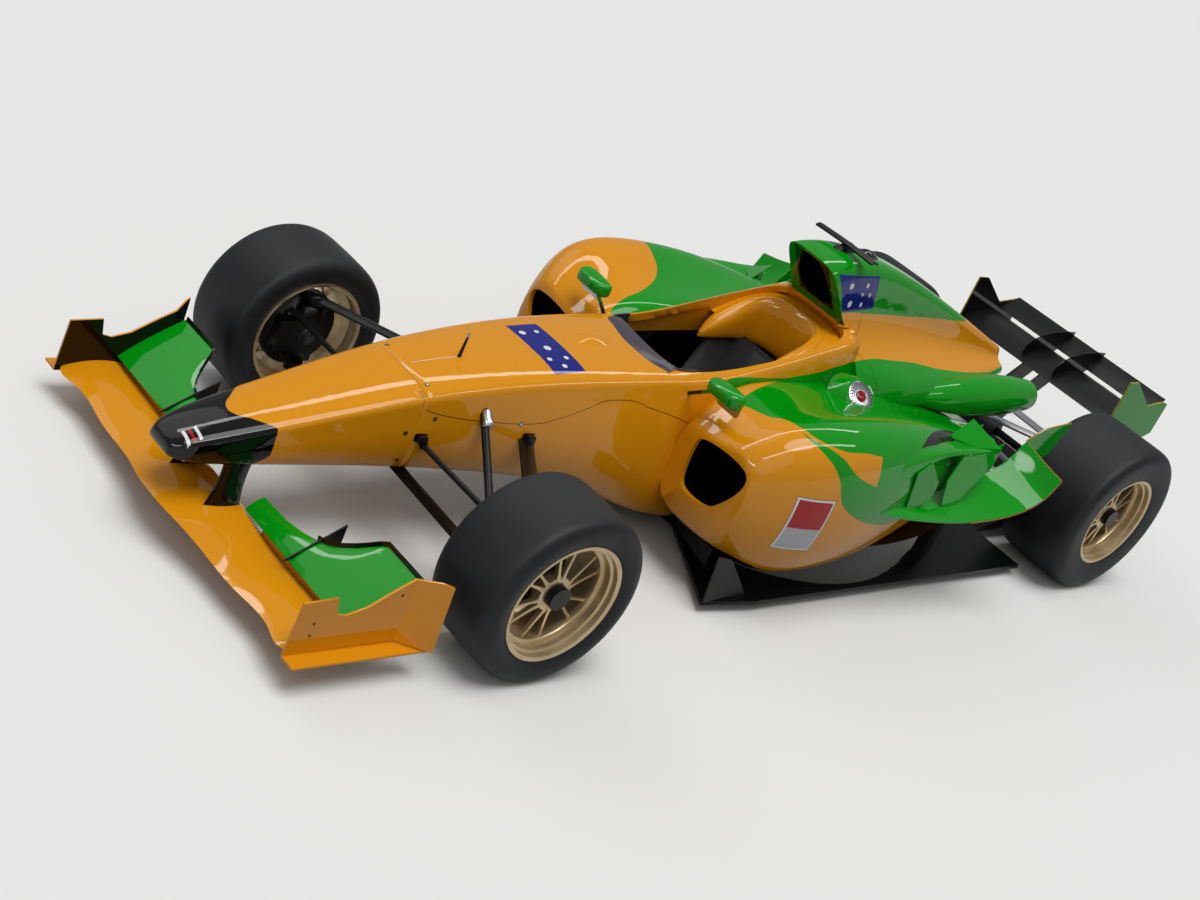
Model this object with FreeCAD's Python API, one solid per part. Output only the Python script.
import FreeCAD, Part
import math
import os

# Open wheel racing car: a single seater with a raised nose, a wing at each end and four bare wheels.
# +X points to the nose, +Y to the car's left and +Z up. The origin is on the ground, under the middle
# of the car's overall box. All lengths are in millimetres and all angles in degrees.

# Overall sizes
overall_length = 4740.0
wheelbase = 3140.0
front_overhang = 880.0
front_axle_x = overall_length / 2 - front_overhang
rear_axle_x = front_axle_x - wheelbase

# Wheels, front then rear
front_tyre_radius = 297.0
front_tyre_width = 280.0
front_half_track = 735.0
rear_tyre_radius = 340.0
rear_tyre_width = 340.0
rear_half_track = 672.0
rim_flange_radius = 206.0
rim_flange_lip = 9.0
rim_wall = 7.0
rim_bead_inset = 5.0
rim_well_depth = 24.0
rim_seat_width = 56.0
tyre_shoulder = 30.0
tyre_bulge = 5.0
spoke_pairs = 6
spoke_width = 11.0
spoke_depth = 16.0
spoke_pair_spread = 26.0
spoke_dish = 58.0
rim_centre_radius = 58.0
rim_centre_thickness = 30.0
wheel_nut_radius = 38.0
wheel_nut_length = 34.0
hub_shaft_radius = 32.0
hub_flange_radius = 62.0
hub_flange_thickness = 12.0
brake_disc_radius = 140.0
brake_disc_thickness = 28.0
brake_disc_gap = 14.0
drive_shaft_radius = 17.0
running_clearance = 0.05
seat_clearance = 0.3
moving_clearance = 6.0

# Front suspension and steering
kingpin_y = 628.0
upper_joint_z = 432.0
lower_joint_z = 176.0
upright_width = 78.0
upright_thickness = 46.0
arm_half_chord = 27.0
arm_half_depth = 13.0
joint_half_height = 16.0
joint_eye_radius = 30.0
stud_length = 10.0
stud_radius = 9.0
steering_arm_reach = 84.0
steering_arm_thickness = 12.0
steering_arm_width = 26.0
track_rod_radius = 9.0
rack_z = 388.0
upper_picks = ((-102.0, 172.0, 419.0), (279.0, 228.0, 431.0))
lower_picks = ((-111.0, 155.0, 280.0), (300.0, 190.0, 284.0))
leg_root = 100.0
pushrod_radius = 13.0
pushrod_root = 60.0
pushrod_top_aft = 95.0
pushrod_top_y = 185.0
pushrod_top_z = 519.0
pushrod_foot_aft = 8.0
pushrod_foot_y = 560.0
pushrod_foot_z = 190.0
brake_duct_reach = 118.0
brake_duct_half_height = 58.0
brake_duct_wall = 5.0

# Hull: nose and tub share one set of control rings from the tip to the rear bulkhead
hull_length = 2640.0
hull_tip_aft = -front_overhang
hull_rear_aft = hull_tip_aft + hull_length
hull_half_width = 300.0
hull_top = 720.0
nose_seam_aft = -130.0
hull_skin = 22.0
hull_station_shares = (0.0, 0.0057, 0.0277, 0.083, 0.185, 0.314, 0.462, 0.573, 0.663, 0.75, 0.864, 1.0)
hull_flank_shares = (0.19, 0.25, 0.33, 0.39, 0.49, 0.62, 0.83, 0.95, 1.0, 1.03, 1.03, 0.98)
hull_shoulder_shares = (0.17, 0.23, 0.31, 0.375, 0.47, 0.575, 0.68, 0.745, 0.76, 0.78, 0.80, 0.76)
hull_low_shares = (0.415, 0.40, 0.39, 0.39, 0.39, 0.385, 0.36, 0.30, 0.16, 0.080, 0.060, 0.060)
hull_crease_shares = (0.445, 0.462, 0.49, 0.545, 0.653, 0.781, 0.853, 0.875, 0.883, 0.885, 0.995, 1.11)
hull_crown_shares = (0.46, 0.485, 0.525, 0.588, 0.69, 0.825, 0.90, 0.925, 0.93, 0.93, 1.04, 1.165)
hull_side_shares = ((0.0, 0.0), (0.55, 0.0), (0.88, 0.02), (1.0, 0.35))
hull_lean_shares = ((0.45, 0.72), (0.95, 0.94))
hull_deck_shares = ((0.99, 0.20), (0.82, 0.72), (0.40, 1.0), (0.0, 1.0))

# Cockpit, placed from the hull's rear end
cockpit_rear_gap = 35.0
cockpit_length = 860.0
cockpit_rear_aft = hull_rear_aft - cockpit_rear_gap
cockpit_front_aft = cockpit_rear_aft - cockpit_length
cockpit_half_width = 205.0
cavity_length = 1400.0
cavity_rear_aft = hull_rear_aft - hull_skin
cavity_front_aft = cavity_rear_aft - cavity_length
cockpit_plan_shares = ((0.0, 0.30), (0.0, 0.66), (0.01, 0.86), (0.10, 0.92), (0.35, 0.98), (0.60, 1.03),
                       (0.85, 1.0), (1.0, 0.92), (1.01, 0.40))
seat_half_width = 178.0
seat_shell = 18.0
seat_back_gap = 190.0
seat_back_length = 210.0
seat_thigh_length = 330.0
seat_back_top_aft = hull_rear_aft - seat_back_gap
seat_back_top_z = 620.0
seat_hip_aft = seat_back_top_aft - seat_back_length
seat_hip_z = 88.0
seat_front_aft = seat_hip_aft - seat_thigh_length
seat_front_z = 150.0
seat_side_height = 110.0
headrest_rear_gap = 60.0
headrest_length = 270.0
headrest_half_width = 168.0
headrest_pad = 38.0
headrest_low_z = 590.0
headrest_top_z = 800.0
headrest_path_shares = ((-0.12, 1.0), (0.0, 1.0), (0.26, 1.0), (0.58, 1.0), (0.90, 0.82), (1.0, 0.36))
headrest_size_shares = (0.15, 0.80, 1.0, 1.0, 1.0, 1.0)
headrest_lift_shares = (0.10, 0.38, 0.58, 0.80, 0.96, 1.0)
headrest_ring_shares = ((-0.8, 0.0), (0.8, 0.0), (1.0, 0.35), (1.0, 0.80), (0.45, 1.02), (-0.45, 1.02),
                        (-1.0, 0.78), (-1.0, 0.35))
windscreen_low_share = 0.84
windscreen_high_share = 0.925
windscreen_thickness = 5.0
windscreen_length = 120.0
dash_gap = 65.0
dash_aft = cockpit_front_aft - dash_gap
dash_thickness = 10.0
dash_low_z = 440.0
steering_wheel_gap = 72.0
steering_wheel_aft = cockpit_front_aft + steering_wheel_gap
steering_wheel_z = 548.0
steering_wheel_half_width = 132.0
steering_wheel_half_height = 88.0
steering_wheel_rim = 15.0
steering_wheel_plate = 22.0
steering_column_radius = 14.0
steering_column_tilt = 14.0
steering_grip_share = 0.7
steering_wheel_shares = ((-1.0, -0.75), (-0.6, -1.0), (0.6, -1.0), (1.0, -0.75), (1.0, 0.75), (0.62, 1.0),
                         (0.4, 0.72), (-0.4, 0.72), (-0.62, 1.0), (-1.0, 0.75))

# Mirrors
mirror_aft = 935.0
mirror_y = 366.0
mirror_z = 690.0
mirror_half_width = 74.0
mirror_half_height = 30.0
mirror_depth = 62.0
mirror_station_shares = (-0.5, -0.44, 0.30, 0.5)
mirror_size_shares = (0.30, 1.05, 1.04, 0.94)
mirror_ring_shares = ((0.0, -1.0), (0.9, -1.0), (1.07, -0.9), (1.07, 0.35), (0.95, 1.0), (0.0, 1.0),
                      (-0.9, 0.75), (-1.05, 0.5), (-1.05, -0.8), (-0.9, -1.0))
mirror_stalk_radius = 7.0
mirror_stalk_foot_y = 228.0
mirror_stalk_foot_z = 600.0

# Sidepods
pod_front_gap = 835.0
pod_front_aft = hull_rear_aft - pod_front_gap
pod_tail_lead = 545.0
pod_length = wheelbase - pod_tail_lead - pod_front_aft
pod_outer_y = 725.0
pod_top_z = 700.0
pod_station_shares = (0.0, 0.009, 0.045, 0.099, 0.183, 0.296, 0.434, 0.584, 0.763, 1.0)
pod_outer_shares = (0.86, 0.89, 0.955, 1.02, 1.06, 1.06, 1.025, 0.95, 0.83, 0.68)
pod_low_shares = (0.33, 0.30, 0.25, 0.195, 0.155, 0.16, 0.20, 0.285, 0.385, 0.47)
pod_high_shares = (0.80, 0.84, 0.92, 1.0, 1.035, 1.03, 1.007, 0.95, 0.857, 0.73)
pod_inner_shares = (0.40, 0.39, 0.36, 0.33, 0.29, 0.28, 0.28, 0.28, 0.28, 0.28)
pod_ring_shares = ((0.0, 0.0), (0.50, 0.0), (0.84, 0.02), (0.98, 0.22), (1.03, 0.52), (1.0, 0.80),
                   (0.91, 0.97), (0.74, 1.03), (0.50, 0.95), (0.24, 0.91), (-0.02, 0.93), (-0.04, 0.45))
inlet_depth = 420.0
inlet_inner_y = 365.0
inlet_outer_y = 605.0
inlet_low_z = 325.0
inlet_high_z = 525.0
inlet_ring_shares = ((-1.1, 0.5), (-1.05, 0.95), (0.0, 1.12), (0.85, 1.1), (1.12, 0.8), (0.95, 0.1),
                     (0.45, -0.75), (0.1, -1.05), (-0.8, -1.12), (-1.1, -0.8))
inlet_margin_share = 0.25
radiator_thickness = 60.0
undercut_top_z = 230.0
undercut_inner_share = 0.28
undercut_plan_shares = ((0.08, 0.72), (0.42, 0.94), (1.0, 0.60))
undercut_nose_aft = 1190.0

# Engine cover and airbox
cover_overhang = 232.0
cover_front_aft = hull_rear_aft - cover_overhang
cover_tail_lead = 130.0
cover_length = wheelbase - cover_tail_lead - cover_front_aft
cover_top_z = 1062.0
cover_half_width = 330.0
cover_base_z = 560.0
cover_station_shares = (0.0, 0.05, 0.16, 0.395, 0.70, 1.0)
cover_top_shares = (0.985, 1.005, 1.02, 0.955, 0.81, 0.655)
cover_base_shares = (0.86, 0.86, 0.86, 0.92, 0.98, 1.05)
cover_width_shares = (0.86, 0.88, 0.93, 1.06, 0.78, 0.34)
cover_neck_shares = (0.42, 0.42, 0.36, 0.25, 0.19, 0.16)
cover_shoulder_shares = (0.46, 0.45, 0.42, 0.36, 0.36, 0.45)
cover_side_shares = ((0.0, 0.0), (0.85, 0.0), (1.0, 0.45), (0.88, 0.95))
cover_neck_ring_shares = ((0.42, 0.06), (1.05, 0.32), (1.0, 0.78), (0.78, 1.0), (0.0, 1.0))
airbox_lean = 200.0
airbox_foot_z = 830.0
airbox_mouth_depth = 300.0
airbox_size_shares = (1.0, 1.0, 0.86, 0.7)
airbox_ring_shares = ((0.0, -1.1), (0.85, -1.1), (1.05, -0.6), (0.75, 0.5), (0.5, 1.0), (0.0, 1.05))
airbox_mouth_half_width = 98.0
airbox_mouth_low_z = 866.0
airbox_mouth_high_z = 1036.0
camera_bar_aft = 1690.0
camera_bar_half_width = 150.0
camera_bar_chord = 52.0
camera_bar_height = 26.0
camera_foot_height = 26.0

# Engine, gearbox and rear structure
engine_front_aft = hull_rear_aft
engine_length = 560.0
engine_half_width = 210.0
engine_low_z = 72.0
engine_high_z = 520.0
engine_bay_margin = 12.0
gearbox_tail_overhang = 130.0
gearbox_length = wheelbase + gearbox_tail_overhang - engine_front_aft - engine_length
gearbox_half_width = 150.0
gearbox_low_z = 130.0
gearbox_high_z = 440.0
gearbox_station_shares = (0.0, 0.04, 0.22, 0.42, 0.60, 0.78, 0.96, 1.0)
gearbox_width_shares = (1.0, 1.0, 0.86, 0.80, 0.72, 0.50, 0.42, 0.40)
gearbox_low_shares = (0.0, 0.0, 0.05, 0.08, 0.25, 0.45, 0.55, 0.56)
gearbox_high_shares = (1.0, 1.0, 0.98, 0.96, 0.94, 0.90, 0.88, 0.87)
drive_boss_radius = 46.0
gearbox_ring_shares = ((0.0, 0.0), (0.8, 0.0), (1.0, 0.12), (1.0, 0.88), (0.8, 1.0), (0.0, 1.0))
rain_light_length = 34.0
rain_light_half_width = 38.0
rain_light_low_share = 0.42
starter_socket_radius = 10.0
starter_socket_depth = 70.0
starter_socket_share = 0.20
exhaust_front_aft = 2120.0
exhaust_length = 860.0
exhaust_y = 268.0
exhaust_z = 600.0
exhaust_radius = 74.0
exhaust_bore_radius = 46.0
exhaust_bore_depth = 200.0
exhaust_profile_shares = ((0.0, 0.08), (0.55, 1.12), (1.0, 0.86))

# Floor, vanes and diffuser
floor_front_aft = 925.0
floor_middle_aft = 1180.0
floor_rear_aft = 2840.0
floor_half_width = 700.0
floor_low_z = 34.0
floor_thickness = 16.0
floor_nose_half_width = 240.0
floor_corner_inset = 35.0
floor_tail_half_width = 455.0
vane_front_aft = 900.0
vane_length = 250.0
vane_outline_shares = ((0.12, 0.0), (0.0, 1.0), (0.3, 0.9), (1.0, 0.0))
vane_height = 190.0
vane_y = 664.0
vane_thickness = 6.0
diffuser_length = 620.0
diffuser_rise = 150.0
diffuser_thickness = 8.0
diffuser_strakes = 5
strake_tail_share = 0.33
plank_half_width = 150.0
plank_thickness = 10.0

# Sidepod winglets and cooling outlets
winglet_inner_line = ((1560.0, 505.0), (2000.0, 528.0), (2428.0, 651.0))
winglet_outer_line = ((1478.0, 466.0), (1960.0, 424.0), (2423.0, 641.0))
winglet_inner_y = 430.0
winglet_outer_y = 866.0
winglet_thickness = 10.0
winglet_plate_thickness = 6.0
winglet_fins = ((806.0, 1600.0, 1800.0, 478.0, 640.0), (744.0, 1900.0, 2100.0, 466.0, 612.0))
winglet_fin_lean = 60.0
winglet_horn_y = 668.0
winglet_horn_outline = ((2330.0, 570.0), (2300.0, 622.0), (2413.0, 664.0), (2666.0, 731.0), (2613.0, 588.0))
outlet_front_aft = 2060.0
outlet_length = 300.0
outlet_y = 560.0
outlet_half_width = 62.0
outlet_height = 120.0
outlet_base_z = 425.0
outlet_wall = 6.0

# Front wing
front_wing_half_span = 711.0
front_wing_chord = 250.0
front_wing_thickness = 26.0
front_wing_front_aft = -866.0
front_wing_z = 108.0
front_wing_span_shares = (0.0, 0.10, 0.22, 0.36, 0.60, 0.85, 1.0)
front_wing_lead_shares = (0.0, 0.02, 0.12, 0.22, 0.26, 0.28, 0.29)
front_wing_lift_shares = (0.15, 0.14, 0.08, 0.0, -0.02, 0.0, 0.02)
front_wing_chord_shares = (1.0, 1.0, 0.94, 0.88, 0.86, 0.86, 0.86)
front_wing_pitch = 2.0
wing_crest_share = 0.38
wing_top_share = 0.60
wing_belly_share = 0.42
wing_edge_share = 0.07
flap_inner_y = 128.0
flap_front_aft = -612.0
flap_chord = 247.0
flap_thickness = 13.0
flap_front_z = 150.0
flap_pitch = 34.0
flap_span_shares = (0.0, 0.20, 0.32, 0.40, 0.47, 0.53, 0.58, 0.62, 0.65, 0.68, 1.0)
flap_chord_shares = (0.27, 0.29, 0.34, 0.40, 0.46, 0.56, 0.69, 0.82, 0.93, 1.0, 1.0)
endplate_thickness = 7.0
endplate_front_aft = -817.0
endplate_length = 460.0
endplate_low_z = 104.0
endplate_high_z = 334.0
endplate_outline_shares = ((0.0, 0.0), (0.02, 0.75), (0.26, 0.78), (0.285, 0.54), (0.36, 0.50), (0.50, 0.58),
                           (0.66, 0.78), (0.80, 0.94), (0.93, 1.0), (0.98, 0.99), (1.0, 0.02))
endplate_flare = 74.0
endplate_flare_start_share = 0.80
footplate_width = 62.0
footplate_thickness = 7.0
fence_y = 380.0
fence_front_aft = -640.0
fence_length = 190.0
fence_height = 62.0
fence_rise = 84.0
fence_thickness = 5.0
nose_pillar_foot_y = 112.0
nose_pillar_top_y = 84.0
nose_pillar_half_thickness = 11.0
nose_pillar_foot_line = (-775.0, -610.0)
nose_pillar_waist_line = (-716.0, -622.0)
nose_pillar_top_line = (-722.0, -590.0)
nose_pillar_waist_share = 0.55

# Rear wing
rear_wing_half_span = 442.0
rear_wing_front_aft = 3430.0
rear_wing_chord = 270.0
rear_wing_z = 560.0
rear_wing_thickness = 34.0
rear_wing_pitch = 9.0
rear_flap_chord = 136.0
rear_flap_gap = 14.0
rear_flap_thickness = 16.0
rear_flap_pitch = 26.0
rear_plate_thickness = 7.0
rear_plate_low_z = 470.0
rear_plate_high_z = 770.0
rear_plate_outline_shares = ((0.0, 0.30), (0.0, 1.0), (0.16, 1.0), (0.60, 0.60), (0.90, 0.66), (1.0, 0.62),
                             (1.0, 0.12), (0.80, 0.0), (0.16, 0.0))
rear_fence_y = 88.0
rear_fence_height = 46.0
rear_fence_shares = ((0.05, 0.0), (0.9, 2.6), (0.9, 1.0), (0.5, -1.0))
rear_pillar_y = 44.0
rear_pillar_top_share = 0.75
rear_pillar_foot_share = 0.62
rear_pillar_thickness = 10.0
rear_pillar_chord = 150.0

# Rear suspension
rear_upright_y = 512.0
rear_upright_width = 90.0
rear_upright_height = 250.0
rear_upright_thickness = 44.0
rear_arm_front_spread = 300.0
rear_arm_rear_spread = 90.0
rear_pick_share = 0.8
rear_upper_joint_rise = 118.0
rear_lower_joint_drop = 112.0

spline_degree = 3
overrun = 40.0
cut_reach = 3000.0


def point(x, y, z):
    return FreeCAD.Vector(x, y, z)


def aft(distance):
    """The X of a place that lies this far behind the front axle."""
    return front_axle_x - distance


def mirrored(shape):
    """The same piece on the car's other side."""
    return shape.mirror(point(0, 0, 0), point(0, 1, 0))


def both_sides(shape):
    return Part.makeCompound([shape, mirrored(shape)])


def mixed(low, high, share):
    return low + (high - low) * share


def closed_ring(half_ring):
    """A ring from the left half's points, which start and end on the car's middle plane."""
    right = [point(p.x, -p.y, p.z) for p in reversed(half_ring[1:-1])]
    return list(half_ring) + right


def moulded(rings):
    """A smooth closed solid whose skin follows rings of control points, with flat ends."""
    spans = len(rings) - spline_degree
    round_count = len(rings[0])
    along_repeats = [spline_degree + 1] + [1] * (spans - 1) + [spline_degree + 1]
    around_repeats = [1] * (round_count + 1)
    skin = Part.BSplineSurface()
    skin.buildFromPolesMultsKnots(rings, along_repeats, around_repeats, list(range(spans + 1)),
                                  list(range(round_count + 1)), False, True, spline_degree, spline_degree)
    faces = []
    for span in range(spans):
        strip = skin.copy()
        strip.segment(span, span + 1, 0, round_count)
        faces.append(strip.toShape())
    for end in (0, spans):
        faces.append(Part.Face(Part.Wire([skin.uIso(end).toShape()])))
    shell = Part.Shell(faces)
    shell.sewShape()
    solid = Part.Solid(shell)
    if solid.Volume < 0:
        solid.reverse()
    return solid


def box(x_low, x_high, y_low, y_high, z_low, z_high):
    corner = point(x_low, y_low, z_low)
    return Part.makeBox(x_high - x_low, y_high - y_low, z_high - z_low, corner)


def rod(start, end, radius):
    direction = end - start
    return Part.makeCylinder(radius, direction.Length, start, direction)


def largest(shape):
    """The main solid of a cut shape, without the slivers beyond the cutting body."""
    return max(shape.Solids, key=lambda solid: solid.Volume)


def blade_rod(start, end, half_chord, half_depth):
    """A suspension arm: a slim lens shaped bar, flat from above and below, longer along X."""
    direction = end - start
    front = point(half_chord, 0, 0)
    back = point(-half_chord, 0, 0)
    upper = Part.Arc(front, point(0, half_depth, 0), back).toShape()
    lower = Part.Arc(back, point(0, -half_depth, 0), front).toShape()
    bar = Part.Face(Part.Wire([upper, lower])).extrude(point(0, 0, direction.Length))
    turn = FreeCAD.Rotation(point(1, 0, 0), point(0, 0, 1), direction, "ZXY")
    bar.Placement = FreeCAD.Placement(start, turn)
    return bar


def flat_plate(outline, thickness_vector):
    """A plate from a closed outline of straight edges."""
    wire = Part.makePolygon(list(outline) + [outline[0]])
    return Part.Face(wire).extrude(thickness_vector)


def curved_plate(outline, thickness_vector):
    """A plate whose outline is one smooth closed curve guided by the points."""
    curve = Part.BSplineCurve()
    curve.buildFromPoles(list(outline), True, spline_degree)
    return Part.Face(Part.Wire([curve.toShape()])).extrude(thickness_vector)


def turned(profile, centre_y, axle_x, axle_z):
    """A solid of revolution about a wheel's axis, from a profile of (offset along the axis, radius)."""
    corners = [point(axle_x, centre_y + offset, axle_z + radius) for offset, radius in profile]
    face = Part.Face(Part.makePolygon(corners + [corners[0]]))
    return face.revolve(point(axle_x, centre_y, axle_z), point(0, 1, 0), 360)


def aerofoil(lead, chord, thickness, pitch):
    """One wing section in a plane of constant Y: two arcs and a thin trailing edge, tail end up."""
    slope = math.radians(pitch)

    def place(along, lift):
        rise = chord * along * math.sin(slope) + thickness * lift
        return lead + point(-chord * along * math.cos(slope), 0, rise)

    edge_top = place(1, wing_edge_share)
    edge_low = place(1, -wing_edge_share)
    nose = place(0, 0)
    upper = Part.Arc(edge_top, place(wing_crest_share, wing_top_share), nose).toShape()
    lower = Part.Arc(nose, place(wing_crest_share, -wing_belly_share), edge_low).toShape()
    return Part.Wire([upper, lower, Part.makeLine(edge_low, edge_top)])


def straight_body(rings):
    """A closed body of flat sides through polygon sections."""
    wires = [Part.makePolygon(list(ring) + [ring[0]]) for ring in rings]
    return Part.makeLoft(wires, True, True)


def hull_ring(index, inset=0.0):
    """One control ring of the hull, or of a skin's thickness inside it: flank, shoulder and crowned deck."""
    x = aft(hull_tip_aft + hull_length * hull_station_shares[index])
    flank = hull_half_width * hull_flank_shares[index] - inset
    shoulder = hull_half_width * hull_shoulder_shares[index] - inset
    low = hull_top * hull_low_shares[index] + inset
    crease = hull_top * hull_crease_shares[index] - inset
    crown = hull_top * hull_crown_shares[index] - inset
    half = [point(x, flank * across, mixed(low, crease, up)) for across, up in hull_side_shares]
    half += [point(x, mixed(flank, shoulder, lean), mixed(low, crease, up)) for lean, up in hull_lean_shares]
    half += [point(x, shoulder * across, mixed(crease, crown, up)) for across, up in hull_deck_shares]
    return closed_ring(half)


def hull():
    return moulded([hull_ring(index) for index in range(len(hull_station_shares))])


def hull_cavity():
    inner = moulded([hull_ring(index, hull_skin) for index in range(len(hull_station_shares))])
    limits = box(aft(cavity_rear_aft), aft(cavity_front_aft), -cut_reach, cut_reach, -cut_reach, cut_reach)
    return inner.common(limits)


def cockpit_opening():
    return curved_plate(cockpit_plan(0, hull_top / 2), point(0, 0, hull_top))


def rack_tunnel():
    centre_x = aft(-steering_arm_reach)
    start = point(centre_x, -hull_half_width, rack_z)
    return rod(start, point(centre_x, hull_half_width, rack_z), track_rod_radius + moving_clearance)


def nose_and_tub():
    whole = hull()
    split_x = aft(nose_seam_aft)
    front = box(split_x, split_x + hull_length, -cut_reach, cut_reach, -cut_reach, cut_reach)
    floor_top = floor_low_z + floor_thickness
    under = box(-cut_reach, aft(floor_middle_aft), -cut_reach, cut_reach, -cut_reach, floor_top)
    nose = whole.common(front)
    tub = whole.cut(front).cut(hull_cavity()).cut(cockpit_opening()).cut(rack_tunnel()).cut(under)
    return nose, tub


def seat():
    """A bucket: a folded shell with side walls, open to the front and top."""
    y_side = seat_half_width
    line = [(seat_back_top_aft, seat_back_top_z), (seat_hip_aft, seat_hip_z), (seat_front_aft, seat_front_z)]
    upper = [point(aft(a), -y_side, z) for a, z in line]
    lower = [point(aft(a + seat_shell), -y_side, z - seat_shell) for a, z in reversed(line)]
    shell = flat_plate(upper + lower, point(0, 2 * y_side, 0))
    rim = [point(aft(a - seat_side_height), 0, z + seat_side_height / 2) for a, z in reversed(line[:2])]
    front_tip = point(aft(seat_front_aft), 0, seat_front_z + seat_side_height / 2)
    side = [p + point(0, 0, 0) for p in (point(aft(a), 0, z) for a, z in line)] + [front_tip] + rim
    sides = []
    for y_start in (-y_side, y_side - seat_shell):
        outline = [point(p.x, y_start, p.z) for p in side]
        sides.append(flat_plate(outline, point(0, seat_shell, 0)))
    return shell.fuse(sides)


def headrest():
    """The padded collar round the driver's head: a soft tube bent to a horseshoe, rising to the back."""
    path = []
    for along, across in headrest_path_shares:
        path.append(point(aft(cockpit_rear_aft - headrest_rear_gap - headrest_length * (1 - along)),
                          headrest_half_width * across, 0))
    path += [point(p.x, -p.y, 0) for p in reversed(path)]
    count = len(headrest_path_shares)
    rings = []
    for place, middle in enumerate(path):
        share = min(place, 2 * count - 1 - place)
        heading = path[min(place + 1, len(path) - 1)] - path[max(place - 1, 0)]
        across = point(heading.y, -heading.x, 0).normalize() * headrest_pad * headrest_size_shares[share]
        top = mixed(headrest_low_z, headrest_top_z, headrest_lift_shares[share])
        rings.append([middle + across * out + point(0, 0, mixed(headrest_low_z, top, up))
                      for out, up in headrest_ring_shares])
    return moulded(rings)


def column_direction():
    tilt = math.radians(steering_column_tilt)
    return point(math.cos(tilt), 0, -math.sin(tilt))


def steering_wheel_place():
    """Turns a wheel drawn in the YZ plane so that its axis lies along the column."""
    turn = FreeCAD.Rotation(point(0, 1, 0), steering_column_tilt)
    return FreeCAD.Placement(point(aft(steering_wheel_aft), 0, steering_wheel_z), turn)


def steering_wheel():
    plate_profile = [point(0, steering_wheel_half_width * y, steering_wheel_half_height * z)
                     for y, z in steering_wheel_shares]
    plate = flat_plate(plate_profile, point(steering_wheel_plate, 0, 0))
    grip_reach = steering_wheel_half_height * steering_grip_share
    pieces = []
    for side in (-1, 1):
        y = side * (steering_wheel_half_width - steering_wheel_rim)
        low = point(steering_wheel_plate / 2, y, -grip_reach)
        high = point(steering_wheel_plate / 2, y, grip_reach)
        pieces.append(rod(low, high, steering_wheel_rim))
    column_length = (steering_wheel_aft - dash_aft) / math.cos(math.radians(steering_column_tilt)) + overrun
    middle = point(steering_wheel_plate / 2, 0, 0)
    pieces.append(rod(middle, point(column_length, 0, 0), steering_column_radius))
    wheel = plate.fuse(pieces)
    wheel.Placement = steering_wheel_place()
    return wheel


def dash():
    """The bulkhead that carries the steering column, over the driver's legs."""
    slab = box(aft(dash_aft), aft(dash_aft) + dash_thickness, -cut_reach, cut_reach, dash_low_z, cut_reach)
    centre = point(aft(steering_wheel_aft), 0, steering_wheel_z)
    bore_radius = steering_column_radius + running_clearance
    bore = Part.makeCylinder(bore_radius, hull_length, centre, column_direction())
    return hull_cavity().common(slab).cut(bore)


def cockpit_plan(inset, height):
    """The cockpit opening's outline, or one inside it, at a height."""
    length = cockpit_rear_aft - cockpit_front_aft - 2 * inset
    half_width = cockpit_half_width - inset
    half = [point(aft(cockpit_front_aft + inset + length * along), half_width * across, height)
            for along, across in cockpit_plan_shares]
    return half + [point(p.x, -p.y, p.z) for p in reversed(half)]


def windscreen():
    """The low clear strip that stands inside the front of the cockpit's edge."""
    low = hull_top * windscreen_low_share
    high = hull_top * windscreen_high_share
    outer = curved_plate(cockpit_plan(0, low), point(0, 0, high - low))
    inner = curved_plate(cockpit_plan(windscreen_thickness, low), point(0, 0, high - low))
    front = box(aft(cockpit_front_aft + windscreen_length), aft(cockpit_front_aft) + overrun,
                -cut_reach, cut_reach, low, high)
    return outer.cut(inner).common(front)


def mirror():
    """A left mirror: a rounded pod and its slanted stalk."""
    pod = []
    for along, size in zip(mirror_station_shares, mirror_size_shares):
        x = aft(mirror_aft + mirror_depth * along)
        wide = mirror_half_width * size
        tall = mirror_half_height * size
        pod.append([point(x, mirror_y + wide * y, mirror_z + tall * z) for y, z in mirror_ring_shares])
    foot = point(aft(mirror_aft), mirror_stalk_foot_y, mirror_stalk_foot_z)
    top = point(aft(mirror_aft), mirror_y - mirror_half_width / 2, mirror_z - mirror_half_height / 2)
    return moulded(pod).fuse(rod(foot, top, mirror_stalk_radius))


def pod_ring(index, inset=0.0):
    x = aft(pod_front_aft + pod_length * pod_station_shares[index])
    inner = pod_outer_y * pod_inner_shares[index] + inset
    outer = pod_outer_y * pod_outer_shares[index] - inset
    low = pod_top_z * pod_low_shares[index] + inset
    high = pod_top_z * pod_high_shares[index] - inset
    return [point(x, mixed(inner, outer, y), mixed(low, high, z)) for y, z in pod_ring_shares]


def inlet_duct():
    """The space inside a left cooling inlet, straight back from its mouth to the radiator."""
    x_mouth = aft(pod_front_aft) + overrun
    mid_y = (inlet_inner_y + inlet_outer_y) / 2
    mid_z = (inlet_low_z + inlet_high_z) / 2
    half_y = (inlet_outer_y - inlet_inner_y) / 2
    half_z = (inlet_high_z - inlet_low_z) / 2
    rings = []
    for step in range(spline_degree + 1):
        x = x_mouth - (inlet_depth + overrun) * step / spline_degree
        rings.append([point(x, mid_y + half_y * y, mid_z + half_z * z) for y, z in inlet_ring_shares])
    return moulded(rings)


def sidepod(tub_outer, cover_outer):
    body = moulded([pod_ring(index) for index in range(len(pod_station_shares))])
    return body.cut(inlet_duct()).cut(tub_outer).cut(cover_outer)


def radiator():
    """The cooling core that closes a left inlet at its back."""
    x_face = aft(pod_front_aft + inlet_depth)
    margin = (inlet_outer_y - inlet_inner_y) * inlet_margin_share
    core = box(x_face, x_face + radiator_thickness, inlet_inner_y - margin, inlet_outer_y + margin,
               inlet_low_z - margin, inlet_high_z + margin)
    return core.common(inlet_duct())


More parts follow.
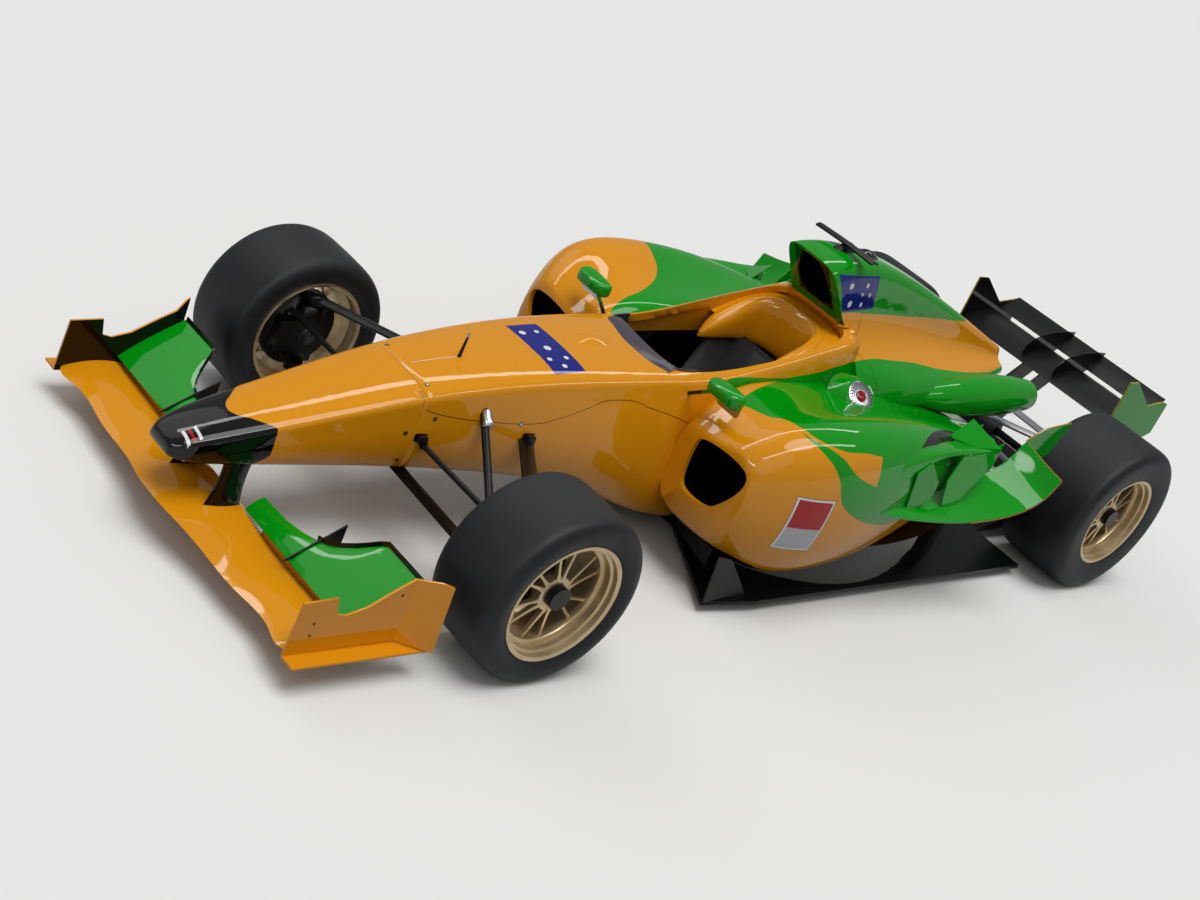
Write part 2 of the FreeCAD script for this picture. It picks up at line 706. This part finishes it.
def undercut():
    """The black lower flank under a left sidepod, bowed in plan, from the floor up to the pod."""
    floor_top = floor_low_z + floor_thickness
    front, middle, rear = [point(aft(pod_front_aft + pod_length * along), pod_outer_y * share, floor_top)
                           for along, share in undercut_plan_shares]
    inner_y = pod_outer_y * undercut_inner_share
    corners = [rear, point(rear.x, inner_y, floor_top), point(aft(undercut_nose_aft), inner_y, floor_top),
               front]
    sides = [Part.makeLine(start, end) for start, end in zip(corners, corners[1:])]
    outer = Part.Arc(front, middle, rear).toShape()
    return Part.Face(Part.Wire([outer] + sides)).extrude(point(0, 0, undercut_top_z - floor_top))


def cover_ring(index):
    """One control ring of the engine cover: a wide foot, a hollow fillet and a narrow spine."""
    x = aft(cover_front_aft + cover_length * cover_station_shares[index])
    top = cover_top_z * cover_top_shares[index]
    base = cover_base_z * cover_base_shares[index]
    wide = cover_half_width * cover_width_shares[index]
    neck = cover_half_width * cover_neck_shares[index]
    shoulder = mixed(base, top, cover_shoulder_shares[index])
    half = [point(x, wide * across, mixed(base, shoulder, up)) for across, up in cover_side_shares]
    fillet_across, fillet_up = cover_neck_ring_shares[0]
    half.append(point(x, mixed(neck, wide, fillet_across), mixed(shoulder, top, fillet_up)))
    half += [point(x, neck * across, mixed(shoulder, top, up)) for across, up in cover_neck_ring_shares[1:]]
    return closed_ring(half)


def airbox_mouth():
    x_mouth = aft(cover_front_aft) + overrun
    middle = (airbox_mouth_low_z + airbox_mouth_high_z) / 2
    half_height = (airbox_mouth_high_z - airbox_mouth_low_z) / 2
    rings = []
    for step, size in enumerate(airbox_size_shares):
        x = x_mouth - (airbox_mouth_depth + overrun) * step / spline_degree
        half = [point(x, airbox_mouth_half_width * size * y, middle + half_height * size * z)
                for y, z in airbox_ring_shares]
        rings.append(closed_ring(half))
    return moulded(rings)


def engine_bay():
    margin = engine_bay_margin
    return box(aft(engine_front_aft + engine_length + gearbox_length), aft(engine_front_aft),
               -engine_half_width - margin, engine_half_width + margin, -overrun, engine_high_z + margin)


def airbox_front():
    """What lies ahead of the airbox's leaning mouth and, below it, ahead of the hull's rear end."""
    lean_x = aft(cover_front_aft)
    foot_x = aft(cover_front_aft + airbox_lean)
    hull_x = aft(hull_rear_aft)
    outline = [point(lean_x, -cut_reach, cover_top_z), point(foot_x, -cut_reach, airbox_foot_z),
               point(hull_x, -cut_reach, airbox_foot_z), point(hull_x, -cut_reach, 0),
               point(hull_x + cut_reach, -cut_reach, 0), point(hull_x + cut_reach, -cut_reach, cover_top_z)]
    return flat_plate(outline, point(0, 2 * cut_reach, 0))


def engine_cover(tub_outer):
    body = moulded([cover_ring(index) for index in range(len(cover_station_shares))]).cut(airbox_front())
    return body.cut(airbox_mouth()).cut(tub_outer), body


def camera_bar():
    """The camera's cross bar and its foot on top of the airbox."""
    top = cover_top_z + camera_foot_height
    bar = box(aft(camera_bar_aft + camera_bar_chord), aft(camera_bar_aft), -camera_bar_half_width,
              camera_bar_half_width, top, top + camera_bar_height)
    foot = box(aft(camera_bar_aft + camera_bar_chord), aft(camera_bar_aft), -camera_bar_chord / 2,
               camera_bar_chord / 2, cover_top_z - camera_foot_height, top)
    return bar.fuse(foot)


def engine():
    return box(aft(engine_front_aft + engine_length), aft(engine_front_aft), -engine_half_width,
               engine_half_width, engine_low_z, engine_high_z)


def gearbox():
    """The gearbox casing, tapering to the tail, with a boss on each side for a drive shaft."""
    rings = []
    start = engine_front_aft + engine_length
    for index, station in enumerate(gearbox_station_shares):
        x = aft(start + gearbox_length * station)
        wide = gearbox_half_width * gearbox_width_shares[index]
        low = mixed(gearbox_low_z, gearbox_high_z, gearbox_low_shares[index])
        high = mixed(gearbox_low_z, gearbox_high_z, gearbox_high_shares[index])
        rings.append(closed_ring([point(x, wide * y, mixed(low, high, z)) for y, z in gearbox_ring_shares]))
    boss = rod(point(rear_axle_x, -gearbox_half_width, rear_tyre_radius),
               point(rear_axle_x, gearbox_half_width, rear_tyre_radius), drive_boss_radius)
    tail = point(rings[-1][0].x, 0, tail_height(starter_socket_share))
    socket = rod(tail, tail + point(starter_socket_depth, 0, 0), starter_socket_radius)
    return straight_body(rings).fuse(boss).cut(socket)


def tail_height(share):
    """A height on the gearbox's end face, from its foot to its top."""
    low = mixed(gearbox_low_z, gearbox_high_z, gearbox_low_shares[-1])
    high = mixed(gearbox_low_z, gearbox_high_z, gearbox_high_shares[-1])
    return mixed(low, high, share)


def rain_light():
    tail_aft = engine_front_aft + engine_length + gearbox_length
    return box(aft(tail_aft + rain_light_length), aft(tail_aft), -rain_light_half_width,
               rain_light_half_width, tail_height(rain_light_low_share), tail_height(1))


def exhaust(cover_outer, pod):
    """A left exhaust fairing, a long bulb turned about the tail pipe's axis, open at its end."""
    tip, belly, end = [point(aft(exhaust_front_aft + exhaust_length * along), exhaust_y,
                             exhaust_z + exhaust_radius * size) for along, size in exhaust_profile_shares]
    axis_tip = point(tip.x, exhaust_y, exhaust_z)
    axis_end = point(end.x, exhaust_y, exhaust_z)
    edges = [Part.makeLine(axis_tip, tip), Part.Arc(tip, belly, end).toShape(), Part.makeLine(end, axis_end),
             Part.makeLine(axis_end, axis_tip)]
    bulb = Part.Face(Part.Wire(edges)).revolve(axis_tip, point(1, 0, 0), 360)
    bore_end = axis_end + point(exhaust_bore_depth, 0, 0)
    bore = rod(axis_end - point(overrun, 0, 0), bore_end, exhaust_bore_radius)
    return largest(bulb.cut(bore).cut(cover_outer).cut(pod))


def floor():
    """The flat floor with its plank; its front edge runs back from the corners to the middle."""
    half = [(floor_rear_aft, floor_half_width), (floor_front_aft + vane_length, floor_half_width),
            (floor_front_aft, floor_half_width - floor_corner_inset),
            (floor_middle_aft, floor_nose_half_width)]
    outline = [point(aft(a), y, floor_low_z) for a, y in half]
    outline += [point(aft(a), -y, floor_low_z) for a, y in reversed(half)]
    deck = flat_plate(outline, point(0, 0, floor_thickness))
    plank = box(aft(floor_rear_aft), aft(floor_middle_aft), -plank_half_width, plank_half_width,
                floor_low_z - plank_thickness, floor_low_z)
    return deck.fuse(plank)


def floor_vane():
    """A left turning vane that stands on the floor's front corner."""
    foot_z = floor_low_z + floor_thickness
    outline = [point(aft(vane_front_aft + vane_length * along), vane_y, foot_z + vane_height * up)
               for along, up in vane_outline_shares]
    return flat_plate(outline, point(0, vane_thickness, 0))


def diffuser():
    """The rising tunnel roof behind the floor, with upright strakes under it."""
    start = aft(floor_rear_aft)
    end = start - diffuser_length
    half = floor_tail_half_width
    top = floor_low_z + floor_thickness
    ramp = flat_plate([point(start, -half, top - diffuser_thickness), point(start, -half, top),
                       point(end, -half, top + diffuser_rise),
                       point(end, -half, top + diffuser_rise - diffuser_thickness)], point(0, 2 * half, 0))
    strakes = []
    for number in range(diffuser_strakes):
        y = mixed(-half, half - diffuser_thickness, number / (diffuser_strakes - 1))
        strakes.append(flat_plate([point(start, y, floor_low_z), point(start, y, top),
                                   point(end, y, top + diffuser_rise),
                                   point(end, y, floor_low_z + diffuser_rise * strake_tail_share)],
                                  point(0, diffuser_thickness, 0)))
    return ramp.fuse(strakes)


def winglet(pod, cover_outer):
    """The left flip-up ahead of the rear wheel: a warped deck, upright fins and a horn at its inner end."""
    sections = []
    for y, line in ((winglet_inner_y, winglet_inner_line), (winglet_outer_y, winglet_outer_line)):
        lower_places = [point(aft(a), y, z) for a, z in line]
        upper_places = [place + point(0, 0, winglet_thickness) for place in reversed(lower_places)]
        lower = Part.Arc(*lower_places).toShape()
        upper = Part.Arc(*upper_places).toShape()
        rear = Part.makeLine(lower_places[-1], upper_places[0])
        front = Part.makeLine(upper_places[-1], lower_places[0])
        sections.append(Part.Wire([lower, rear, upper, front]))
    deck = Part.makeLoft(sections, True, True)
    pieces = []
    for y, front, rear, low, high in winglet_fins:
        outline = [point(aft(front), y, low - winglet_fin_lean), point(aft(front), y, low),
                   point(aft(front + winglet_fin_lean), y, high), point(aft(rear), y, low - winglet_fin_lean)]
        pieces.append(flat_plate(outline, point(0, winglet_plate_thickness, 0)))
    horn = [point(aft(a), winglet_horn_y, z) for a, z in winglet_horn_outline]
    pieces.append(flat_plate(horn, point(0, winglet_plate_thickness, 0)))
    return largest(deck.fuse(pieces).cut(pod).cut(cover_outer))


def cooling_outlet(others):
    """A left hot-air outlet: a raised box on the sidepod's shoulder, open to the rear."""
    front_x = aft(outlet_front_aft)
    rear_x = aft(outlet_front_aft + outlet_length)
    base = outlet_base_z

    def wedge(margin, reach):
        y = outlet_y - outlet_half_width + margin
        outline = [point(front_x - margin, y, base - reach), point(rear_x - reach, y, base - reach),
                   point(rear_x - reach, y, base + 2 * outlet_height - margin)]
        return flat_plate(outline, point(0, 2 * (outlet_half_width - margin), 0))

    shape = wedge(0, 0).cut(wedge(outlet_wall, overrun))
    for other in others:
        shape = shape.cut(other)
    return largest(shape)


def front_wing_main():
    """The full-width main plane, lifted and pushed forward under the nose."""
    half = []
    for index, span in enumerate(front_wing_span_shares):
        lead = point(aft(front_wing_front_aft + front_wing_chord * front_wing_lead_shares[index]),
                     front_wing_half_span * span,
                     front_wing_z + front_wing_chord * front_wing_lift_shares[index])
        half.append((lead, front_wing_chord * front_wing_chord_shares[index]))
    other = [(point(lead.x, -lead.y, lead.z), chord) for lead, chord in reversed(half[1:])]
    sections = [aerofoil(lead, chord, front_wing_thickness, front_wing_pitch) for lead, chord in other + half]
    return Part.makeLoft(sections, True, False)


def front_flap():
    """The left flap, pitched up to its trailing edge, which is scooped deeply over its inner half."""
    sections = []
    for span, chord_share in zip(flap_span_shares, flap_chord_shares):
        lead = point(aft(flap_front_aft), mixed(flap_inner_y, front_wing_half_span, span), flap_front_z)
        sections.append(aerofoil(lead, flap_chord * chord_share, flap_thickness, flap_pitch))
    return Part.makeLoft(sections, True, True)


def front_endplate():
    """A left front endplate: bent outward behind its crease, cut to its side outline, on a footplate."""
    inner_y = front_wing_half_span
    front_x = aft(endplate_front_aft)
    crease_x = aft(endplate_front_aft + endplate_length * endplate_flare_start_share)
    end_x = aft(endplate_front_aft + endplate_length)
    inner_line = [point(front_x, inner_y, endplate_low_z), point(crease_x, inner_y, endplate_low_z),
                  point(end_x, inner_y + endplate_flare, endplate_low_z)]
    outer_line = [place + point(0, endplate_thickness, 0) for place in reversed(inner_line)]
    bent = flat_plate(inner_line + outer_line, point(0, 0, endplate_high_z - endplate_low_z))
    outline = [point(aft(endplate_front_aft + endplate_length * along), inner_y,
                     mixed(endplate_low_z, endplate_high_z, up)) for along, up in endplate_outline_shares]
    side = flat_plate(outline, point(0, endplate_flare + 2 * endplate_thickness, 0))
    foot = box(end_x, front_x, inner_y, inner_y + footplate_width, endplate_low_z - footplate_thickness,
               endplate_low_z)
    return bent.common(side).fuse(foot)


def front_fence(others):
    """A left upright fence that stands on the front flaps."""
    x_front = aft(fence_front_aft)
    x_rear = aft(fence_front_aft + fence_length)
    mid_z = flap_front_z + fence_rise
    outline = [point(x_front, fence_y, flap_front_z), point(x_rear, fence_y, mid_z - fence_height / 2),
               point(x_rear, fence_y, mid_z + fence_height / 2)]
    plate = flat_plate(outline, point(0, fence_thickness, 0))
    for other in others:
        plate = plate.cut(other)
    return largest(plate)


def nose_pillar(nose, wing):
    """A left pillar from the nose's underside to the wing's upper skin: lens sections, waisted halfway up."""
    waist_z = mixed(front_wing_z, hull_top / 2, nose_pillar_waist_share)
    waist_y = mixed(nose_pillar_foot_y, nose_pillar_top_y, nose_pillar_waist_share)
    sections = []
    for (front, rear), y, z in ((nose_pillar_foot_line, nose_pillar_foot_y, front_wing_z),
                                (nose_pillar_waist_line, waist_y, waist_z),
                                (nose_pillar_top_line, nose_pillar_top_y, hull_top / 2)):
        lead = point(aft(front), y, z)
        tail = point(aft(rear), y, z)
        bulge = point(0, nose_pillar_half_thickness, 0)
        middle = (lead + tail) / 2
        left = Part.Arc(lead, middle + bulge, tail).toShape()
        right = Part.Arc(tail, middle - bulge, lead).toShape()
        sections.append(Part.Wire([left, right]))
    return largest(Part.makeLoft(sections, True, False).cut(nose).cut(wing))


def rear_wing_planes():
    """The main plane and the flap behind it, with a slot between."""
    lead_x = aft(rear_wing_front_aft)
    flap_x = lead_x - rear_wing_chord - rear_flap_gap
    lift = rear_wing_chord * math.tan(math.radians(rear_wing_pitch)) + rear_flap_gap
    span = point(0, 2 * rear_wing_half_span, 0)
    main = aerofoil(point(lead_x, -rear_wing_half_span, rear_wing_z), rear_wing_chord, rear_wing_thickness,
                    rear_wing_pitch)
    flap = aerofoil(point(flap_x, -rear_wing_half_span, rear_wing_z + lift), rear_flap_chord,
                    rear_flap_thickness, rear_flap_pitch)
    return Part.makeCompound([Part.Face(section).extrude(span) for section in (main, flap)])


def rear_endplate():
    length = overall_length - front_overhang - rear_wing_front_aft
    outline = [point(aft(rear_wing_front_aft + length * along), rear_wing_half_span,
                     mixed(rear_plate_low_z, rear_plate_high_z, up))
               for along, up in rear_plate_outline_shares]
    return flat_plate(outline, point(0, rear_plate_thickness, 0))


def rear_fence(planes):
    """A left upright fence through the slot between the rear wing's planes."""
    length = overall_length - front_overhang - rear_wing_front_aft
    outline = [point(aft(rear_wing_front_aft + length * along), rear_fence_y,
                     rear_wing_z + rear_fence_height * up) for along, up in rear_fence_shares]
    return largest(flat_plate(outline, point(0, rear_plate_thickness / 2, 0)).cut(planes))


def rear_pillar(planes, casing):
    """A left pillar from the gearbox's tail up to the main plane."""
    top_aft = rear_wing_front_aft + rear_wing_chord * rear_pillar_top_share
    foot_aft = rear_wing_front_aft - rear_wing_chord * rear_pillar_foot_share
    foot_z = (gearbox_low_z + gearbox_high_z) / 2
    top_z = rear_wing_z + rear_wing_thickness
    outline = [point(aft(place), rear_pillar_y, z)
               for place, z in ((foot_aft, foot_z), (foot_aft - rear_pillar_chord, foot_z),
                                (top_aft - rear_pillar_chord, top_z), (top_aft, top_z))]
    return largest(flat_plate(outline, point(0, rear_pillar_thickness, 0)).cut(planes).cut(casing))


def rim(centre_y, axle_x, axle_z, tyre_width):
    """A left rim: flanges, barrel and paired spokes round a centre that the nut clamps."""
    half = tyre_width / 2 - rim_bead_inset
    outer = rim_flange_radius
    seat_radius = outer - rim_flange_lip
    well = seat_radius - rim_well_depth
    outside = [(half, outer), (half - rim_wall, outer), (half - rim_wall, seat_radius),
               (half - rim_seat_width, seat_radius), (half - rim_seat_width - rim_wall, well)]
    inside = [(half - rim_seat_width - rim_wall, well - rim_wall),
              (half - rim_seat_width, seat_radius - rim_wall), (half, seat_radius - rim_wall)]
    profile = outside + [(-offset, radius) for offset, radius in reversed(outside)]
    profile += [(-offset, radius) for offset, radius in reversed(inside)] + inside
    barrel = turned(profile, centre_y, axle_x, axle_z)
    face_y = centre_y + half - spoke_dish
    centre = rod(point(axle_x, face_y - rim_centre_thickness, axle_z), point(axle_x, face_y, axle_z),
                 rim_centre_radius)
    centre = centre.cut(rod(point(axle_x, face_y - overrun, axle_z), point(axle_x, face_y + overrun, axle_z),
                            hub_shaft_radius))
    spokes = []
    for pair in range(spoke_pairs):
        for side in (-1, 1):
            offset = side * spoke_pair_spread / 2
            spoke = box(axle_x + offset - spoke_width / 2, axle_x + offset + spoke_width / 2,
                        face_y - spoke_depth, face_y, axle_z + hub_shaft_radius + spoke_width,
                        axle_z + well - rim_wall / 2)
            spoke.rotate(point(axle_x, face_y, axle_z), point(0, 1, 0), 360 * pair / spoke_pairs)
            spokes.append(spoke)
    return barrel.fuse([centre] + spokes)


def tyre(centre_y, axle_x, axle_z, radius, width):
    """A slick tyre whose inside follows the rim's outside."""
    half = width / 2
    inner = half - rim_bead_inset - rim_wall
    seat_radius = rim_flange_radius - rim_flange_lip
    side = [(inner, seat_radius), (inner, rim_flange_radius), (half + tyre_bulge, radius - tyre_shoulder),
            (half + tyre_bulge - tyre_shoulder, radius)]
    profile = side + [(-offset, at_radius) for offset, at_radius in reversed(side)]
    return turned(profile, centre_y, axle_x, axle_z)


def hub(centre_y, axle_x, axle_z, tyre_width, upright_y, upright_depth, shaft_end_y):
    """A left hub: shaft, drive flange, brake disc, wheel nut and, at the rear, the drive shaft."""
    half = tyre_width / 2 - rim_bead_inset
    face_y = centre_y + half - spoke_dish
    back_y = face_y - rim_centre_thickness
    disc_y = upright_y + upright_depth / 2 + brake_disc_gap
    nut_end_y = face_y + wheel_nut_length

    def round_piece(start_y, end_y, radius):
        return rod(point(axle_x, start_y, axle_z), point(axle_x, end_y, axle_z), radius)

    pieces = [round_piece(back_y - hub_flange_thickness, back_y, hub_flange_radius),
              round_piece(disc_y, disc_y + brake_disc_thickness, brake_disc_radius),
              round_piece(face_y, nut_end_y, wheel_nut_radius)]
    if shaft_end_y is not None:
        pieces.append(round_piece(shaft_end_y, upright_y, drive_shaft_radius))
    return round_piece(upright_y - upright_depth / 2, nut_end_y, hub_shaft_radius).fuse(pieces)


def front_upright():
    """A left front upright with its ball studs, steering arm and brake cooling scoop."""
    axle_z = front_tyre_radius
    low = lower_joint_z + joint_half_height + running_clearance
    high = upper_joint_z - joint_half_height - running_clearance
    core = box(front_axle_x - upright_width / 2, front_axle_x + upright_width / 2,
               kingpin_y - upright_thickness / 2, kingpin_y + upright_thickness / 2, low + stud_length,
               high - stud_length)
    studs = rod(point(front_axle_x, kingpin_y, low), point(front_axle_x, kingpin_y, high), stud_radius)
    arm_top = rack_z - track_rod_radius - seat_clearance
    arm = box(front_axle_x, front_axle_x + steering_arm_reach + steering_arm_width / 2,
              kingpin_y - steering_arm_width / 2, kingpin_y + steering_arm_width / 2,
              arm_top - steering_arm_thickness, arm_top)
    scoop = box(front_axle_x, front_axle_x + brake_duct_reach, kingpin_y - upright_thickness / 2,
                kingpin_y + upright_thickness / 2, axle_z - brake_duct_half_height,
                axle_z + brake_duct_half_height)
    half_room = upright_thickness / 2 - brake_duct_wall
    half_rise = brake_duct_half_height - brake_duct_wall
    mouth = box(front_axle_x + upright_width / 2 + brake_duct_wall, front_axle_x + brake_duct_reach + overrun,
                kingpin_y - half_room, kingpin_y + half_room, axle_z - half_rise, axle_z + half_rise)
    bore = rod(point(front_axle_x, kingpin_y - overrun, axle_z),
               point(front_axle_x, kingpin_y + overrun, axle_z), hub_shaft_radius + running_clearance)
    return core.fuse([studs, arm, scoop]).cut(mouth).cut(bore)


def front_arms():
    """The left wishbones and pushrod; each leg starts inside the hull and ends in its joint's eye."""
    made = []
    for joint_z, picks in ((upper_joint_z, upper_picks), (lower_joint_z, lower_picks)):
        joint = point(front_axle_x, kingpin_y, joint_z)
        legs = []
        for pick_aft, pick_y, pick_z in picks:
            pick = point(aft(pick_aft), pick_y, pick_z)
            root = pick + (pick - joint).normalize() * leg_root
            legs.append(blade_rod(root, joint, arm_half_chord, arm_half_depth))
        reach = point(0, 0, joint_half_height)
        made.append(rod(joint - reach, joint + reach, joint_eye_radius).fuse(legs))
    foot = point(aft(pushrod_foot_aft), pushrod_foot_y, pushrod_foot_z)
    top = point(aft(pushrod_top_aft), pushrod_top_y, pushrod_top_z)
    root = top + (top - foot).normalize() * pushrod_root
    return made[0], made[1].fuse(rod(foot, root, pushrod_radius))


def wheel_set():
    """All rims, tyres and hubs by node name."""
    made = {}
    for place, axle_x, half_track, radius, width, upright_y, depth, shaft_end in (
            ("front", front_axle_x, front_half_track, front_tyre_radius, front_tyre_width, kingpin_y,
             upright_thickness, None),
            ("rear", rear_axle_x, rear_half_track, rear_tyre_radius, rear_tyre_width, rear_upright_y,
             rear_upright_thickness, gearbox_half_width)):
        left = {"rim": rim(half_track, axle_x, radius, width),
                "tyre": tyre(half_track, axle_x, radius, radius, width),
                "hub": hub(half_track, axle_x, radius, width, upright_y, depth, shaft_end)}
        for name, shape in left.items():
            made[name + "_" + place + "_left"] = shape
            made[name + "_" + place + "_right"] = mirrored(shape)
    return made


def rear_upright():
    axle_z = rear_tyre_radius
    core = box(rear_axle_x - rear_upright_width / 2, rear_axle_x + rear_upright_width / 2,
               rear_upright_y - rear_upright_thickness / 2, rear_upright_y + rear_upright_thickness / 2,
               axle_z - rear_upright_height / 2, axle_z + rear_upright_height / 2)
    bore = rod(point(rear_axle_x, rear_upright_y - overrun, axle_z),
               point(rear_axle_x, rear_upright_y + overrun, axle_z), hub_shaft_radius + running_clearance)
    return core.cut(bore)


def rear_arms(casing, upright):
    """The left rear wishbones between the gearbox and the upright."""
    axle_z = rear_tyre_radius
    made = []
    for rise in (rear_upper_joint_rise, -rear_lower_joint_drop):
        joint = point(rear_axle_x, rear_upright_y - rear_upright_thickness / 2, axle_z + rise)
        legs = []
        for ahead in (rear_arm_front_spread, -rear_arm_rear_spread):
            pick = point(rear_axle_x + ahead, 0, axle_z + rise * rear_pick_share)
            legs.append(blade_rod(pick, joint, arm_half_chord, arm_half_depth))
        pair = legs[0].fuse(legs[1]).cut(casing).cut(upright)
        made.append(pair)
    return made


def track_rods():
    x = aft(-steering_arm_reach)
    end_y = kingpin_y
    return rod(point(x, -end_y, rack_z), point(x, end_y, rack_z), track_rod_radius)


def build():
    nodes = {}
    tub_outer = hull()
    nose, tub = nose_and_tub()
    nodes["nose_cone"] = nose
    nodes["tub"] = tub
    cover, cover_outer = engine_cover(tub_outer)
    nodes["engine_cover"] = cover.cut(engine_bay())
    pod = sidepod(tub_outer, cover_outer)
    nodes["sidepods"] = both_sides(pod.cut(engine_bay()))
    nodes["radiators"] = both_sides(radiator())
    pod_outer = moulded([pod_ring(index) for index in range(len(pod_station_shares))])
    lower = undercut().cut(pod_outer).cut(tub_outer).cut(cover_outer).cut(engine_bay())
    nodes["undercuts"] = both_sides(lower)
    collar = headrest()
    nodes["seat"] = seat().cut(tub).cut(collar)
    nodes["headrest"] = largest(collar.cut(tub))
    nodes["windscreen"] = windscreen().cut(nodes["tub"])
    nodes["dash"] = dash()
    nodes["steering_wheel"] = steering_wheel()
    nodes["mirrors"] = both_sides(mirror().cut(tub_outer).cut(pod_outer))
    nodes["camera_bar"] = camera_bar().cut(cover_outer)
    nodes["engine"] = engine()
    nodes["gearbox"] = gearbox()
    nodes["rain_light"] = rain_light()
    fairing = exhaust(cover_outer, pod_outer)
    nodes["exhausts"] = both_sides(fairing)
    nodes["floor"] = floor()
    nodes["floor_vanes"] = both_sides(floor_vane())
    nodes["diffuser"] = diffuser()
    flip = winglet(pod_outer, cover_outer).cut(fairing)
    nodes["sidepod_winglets"] = both_sides(flip)
    nodes["cooling_outlets"] = both_sides(cooling_outlet([pod_outer, cover_outer, flip, fairing]))
    wing = front_wing_main()
    nodes["front_wing_main"] = wing
    flap = front_flap().cut(wing)
    nodes["front_wing_flaps"] = both_sides(flap)
    nodes["front_wing_endplates"] = both_sides(front_endplate())
    nodes["front_wing_fences"] = both_sides(front_fence([flap, wing]))
    nodes["nose_pillars"] = both_sides(nose_pillar(nose, wing))
    planes = rear_wing_planes()
    nodes["rear_wing_planes"] = planes
    nodes["rear_wing_endplates"] = both_sides(rear_endplate())
    nodes["rear_wing_fences"] = both_sides(rear_fence(planes))
    nodes["rear_wing_pillars"] = both_sides(rear_pillar(planes, nodes["gearbox"]))
    arms = [largest(arm.cut(tub_outer)) for arm in front_arms()]
    nodes["front_wishbones"] = both_sides(Part.makeCompound(arms))
    nodes["track_rods"] = track_rods()
    nodes["upright_front_left"] = front_upright()
    nodes["upright_front_right"] = mirrored(nodes["upright_front_left"])
    nodes["rear_uprights"] = both_sides(rear_upright())
    rear = rear_arms(nodes["gearbox"], rear_upright())
    nodes["rear_wishbones"] = both_sides(Part.makeCompound(rear))
    nodes.update(wheel_set())
    return nodes


parts = build()
os.makedirs("parts", exist_ok=True)
for name, shape in parts.items():
    shape.exportStep("parts/" + name + ".step")
    print(name, len(shape.Solids), round(shape.Volume), shape.isValid())
